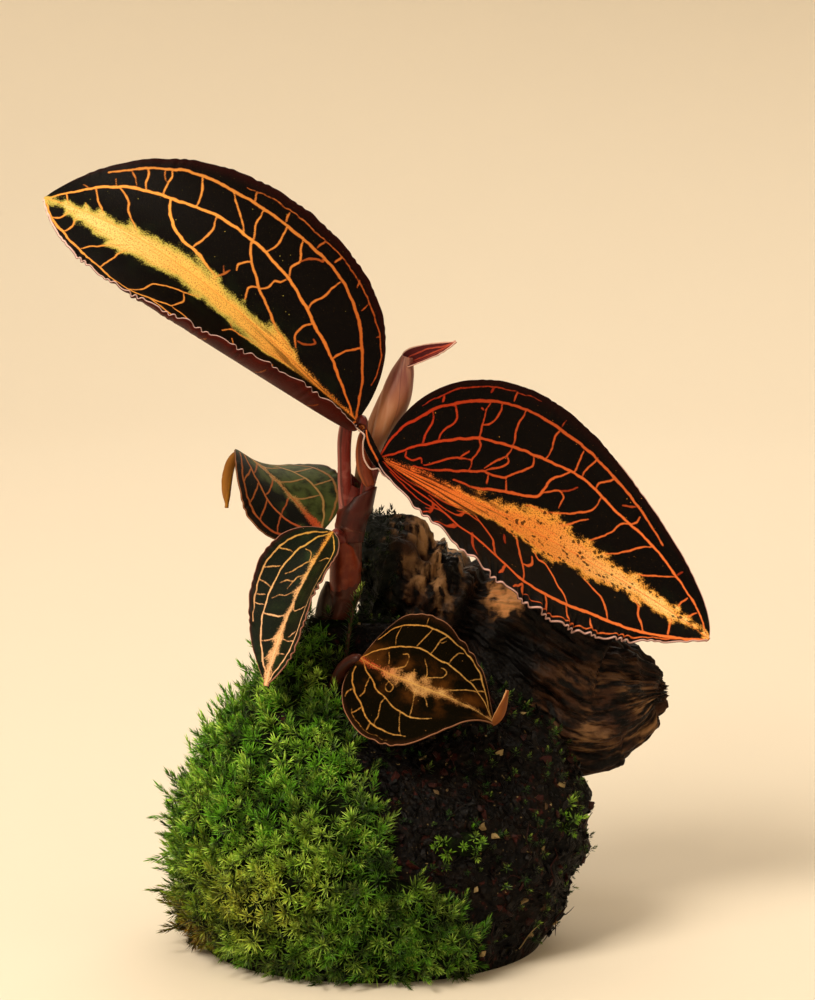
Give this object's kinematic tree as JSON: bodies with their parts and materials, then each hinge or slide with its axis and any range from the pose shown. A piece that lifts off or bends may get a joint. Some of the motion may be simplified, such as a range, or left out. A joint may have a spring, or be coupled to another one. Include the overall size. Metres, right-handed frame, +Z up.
{
  "type": "jewel orchid",
  "caption": "Young jewel orchid with broad dark net-veined leaves, rooted in a mossy clump of substrate held against a chunk of wet bark.",
  "frame": {"origin": "the point of the clump's flat underside straight below the top of the orchid's stem", "axes": "+X to the right as the orchid is seen from its mossy front, +Y to the back, +Z up"},
  "size_m": [0.0957, 0.0543, 0.113],
  "materials": {
    "substrate": "wet, crumbly, near-black brown peat and fibre",
    "bark": "damp, ridged bark, tan where it is lit and worn",
    "moss": "soft, bright green, feathery",
    "stem": "succulent maroon to brown skin, satin",
    "leaf_dark": "near-black velvet with an orange and gold net of veins, maroon beneath",
    "leaf_green": "dark green velvet with a cream to orange net of veins",
    "leaf_olive": "translucent olive brown with a tan net of veins",
    "leaf_young": "dusty pink-brown underside of a rolled leaf, satin"
  },
  "bodies": {
    "root": {"substrate_clump": "substrate", "bark_chunk": "bark", "moss_cushion": "moss", "moss_patch_front": "moss", "moss_patch_right": "moss", "moss_shoot_tall": "moss", "stem": "stem", "leaf_upper_left": "leaf_dark", "leaf_upper_right": "leaf_dark", "leaf_back_left": "leaf_green", "leaf_front_left": "leaf_green", "leaf_lower_front": "leaf_olive", "leaf_new_rolled": "leaf_young"}
  },
  "joints": []
}
